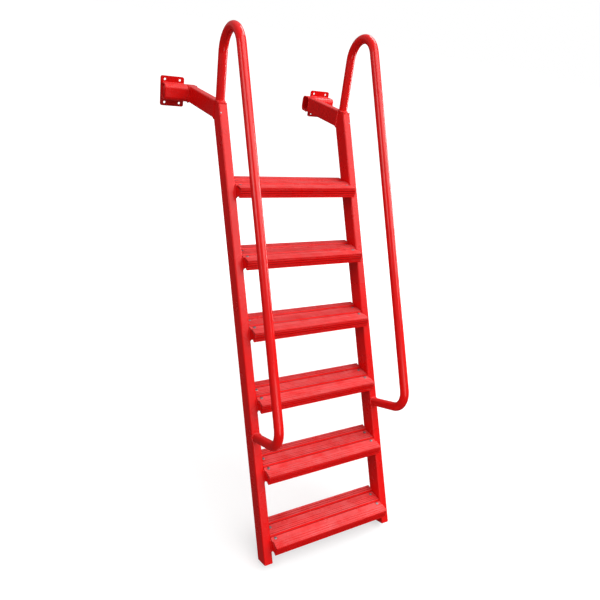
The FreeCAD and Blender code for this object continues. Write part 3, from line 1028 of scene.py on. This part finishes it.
for number, place in enumerate(tread_places, 1):
    for side in SIDES:
        spot = Vector((inner_x[side], place.y, place.z))
        flip = side == "right"
        copy_to(front_bead, f"cleat_front_bead_{number}_{side}", spot, mirror=flip)
        copy_to(under_bead, f"cleat_under_bead_{number}_{side}", spot, mirror=flip)
bpy.data.objects.remove(front_bead)
bpy.data.objects.remove(under_bead)
print("cleat beads:", made("cleat_front_bead") + made("cleat_under_bead"))

# %% [markdown]
# Each handrail is welded all round where its riser stands on the stringer's cap and where its lower stub
# meets the stringer's front face. The tube is as wide as the stringer, so the ring is squeezed from the
# sides, where the bead has to stay on the corner.

# %% Handrail beads
RAIL_RADIUS = 0.01905
RAIL_BEAD_RING = RAIL_RADIUS + 0.0014
RAIL_BEAD_RADIUS = 0.0042
RAIL_BEAD_LIFT = 0.0010
SQUEEZE = 0.90
RISER_SETBACK = 0.033
STUB_DISTANCE = {"left": 1.055, "right": 1.016}

for side in SIDES:
    cap_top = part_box(f"stringer_cap_{side}")[1].z
    path = ring_path(RAIL_BEAD_RING, SQUEEZE)
    path.location = (middle_x[side], front_line_y(cap_top) + RISER_SETBACK, cap_top + RAIL_BEAD_LIFT)
    settle(lay_bead(path, RAIL_BEAD_RADIUS), f"riser_bead_{side}", frame_coat)
    path = ring_path(RAIL_BEAD_RING, SQUEEZE)
    path.rotation_euler = out_of_front.to_track_quat("Z", "X").to_euler()
    seat = tread_places[0] + down_slope * STUB_DISTANCE[side] + out_of_front * RAIL_BEAD_LIFT
    path.location = (middle_x[side], seat.y, seat.z)
    settle(lay_bead(path, RAIL_BEAD_RADIUS), f"stub_bead_{side}", frame_coat)
print("handrail beads:", made("riser_bead") + made("stub_bead"))

# %% [markdown]
# The arm is welded to the stringer on an upright seam, all the way round its section. Where the arm meets
# the cross tube the bead follows the tube's rounded front on both sides of the arm, in the shape of a C.
# Two straight beads hold the cross tube to its plate, above and below, and one more runs round the cap in
# the tube's outer end, where it makes the pale rim that the photograph shows.

# %% Arm and tube beads
ARM_WIDTH = 0.0381
ARM_CORNER = 0.006
TUBE_CORNER = 0.020
SEAM_RADIUS = 0.0046
SEAM_SWELL = 0.0003
OUTER_BEAD_RADIUS = 0.0046
INNER_BEAD_RADIUS = 0.0020
OUTER_BEAD_GAP = 0.0003
PLATE_BEAD_RADIUS = 0.0050
PLATE_BEAD_FROM_PLATE = 0.0030
PLATE_BEAD_SHORTER = 0.002
CAP_BEAD_RADIUS = 0.0038
CAP_BEAD_INSET = 0.0035
PAST_CORNER = 0.001
ACROSS = (math.radians(90), 0, math.radians(90))

for side, sign in SIDES.items():
    arm_low, arm_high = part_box(f"arm_{side}")
    tube_low, tube_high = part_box(f"cross_tube_{side}")
    plate_low, plate_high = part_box(f"bracket_plate_{side}")
    height = arm_high.z - arm_low.z
    level = (arm_high.z + arm_low.z) / 2
    depth = tube_high.y - tube_low.y
    tube_middle_y = (tube_high.y + tube_low.y) / 2
    inner_end, tube_outer, plate_inner = tube_low.x, tube_high.x, plate_low.x
    if side == "left":
        inner_end, tube_outer, plate_inner = tube_high.x, tube_low.x, plate_high.x

    path = rounded_path(ARM_WIDTH, height, ARM_CORNER)
    path.rotation_euler = (math.radians(90), 0, 0)
    path.location = (middle_x[side], arm_low.y, level)
    settle(lay_bead(path, SEAM_RADIUS, swell=SEAM_SWELL), f"arm_seam_bead_{side}", frame_coat)

    outer_face = inner_end + sign * (ARM_WIDTH + OUTER_BEAD_GAP)
    for tag, x, radius in (
        ("outer", outer_face, OUTER_BEAD_RADIUS),
        ("inner", inner_end, INNER_BEAD_RADIUS),
    ):
        path = rounded_path(depth, height, TUBE_CORNER)
        path.rotation_euler = ACROSS
        path.location = (x, tube_middle_y, level)
        bpy.ops.object.transform_apply(location=True, rotation=True)
        bpy.ops.object.mode_set(mode="EDIT")
        pick("VERT", lambda place: place.y > tube_low.y + TUBE_CORNER + PAST_CORNER)
        bpy.ops.mesh.delete(type="VERT")
        bpy.ops.object.mode_set(mode="OBJECT")
        settle(lay_bead(path, radius, closed=False), f"arm_tube_bead_{tag}_{side}", frame_coat)

    run = abs(plate_inner - tube_outer) - PLATE_BEAD_SHORTER
    start_x = tube_outer if side == "left" else tube_outer - run
    for tag, z in (("upper", arm_high.z - PLATE_BEAD_RADIUS), ("lower", arm_low.z + PLATE_BEAD_RADIUS)):
        path = straight_path(run)
        path.location = (start_x, plate_low.y - PLATE_BEAD_FROM_PLATE, z)
        settle(lay_bead(path, PLATE_BEAD_RADIUS, closed=False), f"plate_bead_{tag}_{side}", frame_coat)

    inset = CAP_BEAD_INSET
    path = rounded_path(depth - 2 * inset, height - 2 * inset, TUBE_CORNER - inset)
    path.rotation_euler = ACROSS
    path.location = (tube_outer, tube_middle_y, level)
    settle(lay_bead(path, CAP_BEAD_RADIUS), f"cap_bead_{side}", frame_coat)
for kind in ("arm_seam_bead", "arm_tube_bead", "plate_bead", "cap_bead"):
    print(kind, made(kind))

# %% [markdown]
# Two small set screws sit in the front of each cross tube, almost level with the face and painted over. Each
# starts as a short cylinder, its rim is beveled, and its middle is pressed in by inset and extrude.

# %% Set screws
SET_SCREW_RADIUS = 0.0034
SET_SCREW_LENGTH = 0.004
SET_SCREW_SINK = 0.0015
SET_SCREW_EDGE = 0.0004
BELOW_ITS_RIM = 0.0019
PRESS_INSET = 0.0012
PRESS_DEPTH = 0.0016
SET_SCREW_PLACES = {"outer": (0.034, 0.010), "inner": (0.053, 0.006)}

set_screw = cylinder(24, SET_SCREW_RADIUS, SET_SCREW_LENGTH)
bpy.ops.object.mode_set(mode="EDIT")
pick("EDGE", level_rim(BELOW_ITS_RIM))
bpy.ops.mesh.bevel(offset=SET_SCREW_EDGE, segments=2, affect="EDGES")
pick("FACE", lambda middle, normal: normal.z > 0.9)
press_in(PRESS_INSET, PRESS_DEPTH)
bpy.ops.object.mode_set(mode="OBJECT")
set_screw.rotation_euler = (math.radians(90), 0, 0)
settle(set_screw, "set_screw_pattern", frame_coat)
for side, sign in SIDES.items():
    tube_low, tube_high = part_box(f"cross_tube_{side}")
    tube_outer = tube_low.x if side == "left" else tube_high.x
    for tag, (inward, z) in SET_SCREW_PLACES.items():
        spot = Vector((tube_outer - sign * inward, tube_low.y + SET_SCREW_SINK, z))
        copy_to(set_screw, f"set_screw_{side}_{tag}", spot)
bpy.data.objects.remove(set_screw)
print("set screws:", made("set_screw"))

# %% [markdown]
# One bright rivet shows near the top of each stringer's front face. It is a low dome with a small hole in
# its middle, as a blind rivet has: a short cylinder with its upper rim beveled round, then inset and pressed
# in. It is turned to look out of the leaning face.

# %% Front rivets
RIVET_RADIUS = 0.0030
RIVET_HEIGHT = 0.0024
RIVET_DOME = 0.0011
BELOW_ITS_TOP = 0.0011
HOLE_INSET = 0.0007
HOLE_DEPTH = 0.0008
RIVET_PLACES = {"left": (0.0805, 0.2470), "right": (0.7046, 0.2426)}

rivet = cylinder(24, RIVET_RADIUS, RIVET_HEIGHT)
bpy.ops.object.mode_set(mode="EDIT")
pick("EDGE", level_rim(BELOW_ITS_TOP))
bpy.ops.mesh.bevel(offset=RIVET_DOME, segments=4, affect="EDGES")
pick("FACE", lambda middle, normal: normal.z > 0.99 and middle.z > BELOW_ITS_TOP)
press_in(HOLE_INSET, HOLE_DEPTH)
bpy.ops.object.mode_set(mode="OBJECT")
rivet.rotation_euler = out_of_front.to_track_quat("Z", "X").to_euler()
settle(rivet, "front_rivet_pattern", zinc)
for side, (x, above_tread) in RIVET_PLACES.items():
    z = tread_places[0].z + above_tread
    copy_to(rivet, f"front_rivet_{side}", Vector((x, front_line_y(z), z)))
bpy.data.objects.remove(rivet)
print("rivets:", made("front_rivet"))

# %% [markdown]
# The colours are shown as they are, with the plain Standard view. At the end the box of the dressed model
# is printed, as the CAD model's box is at the start.

# %% Show the box
bpy.context.scene.view_settings.view_transform = "Standard"
low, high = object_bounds()
print("visual box:", [round(v, 3) for v in (*low, *high)])
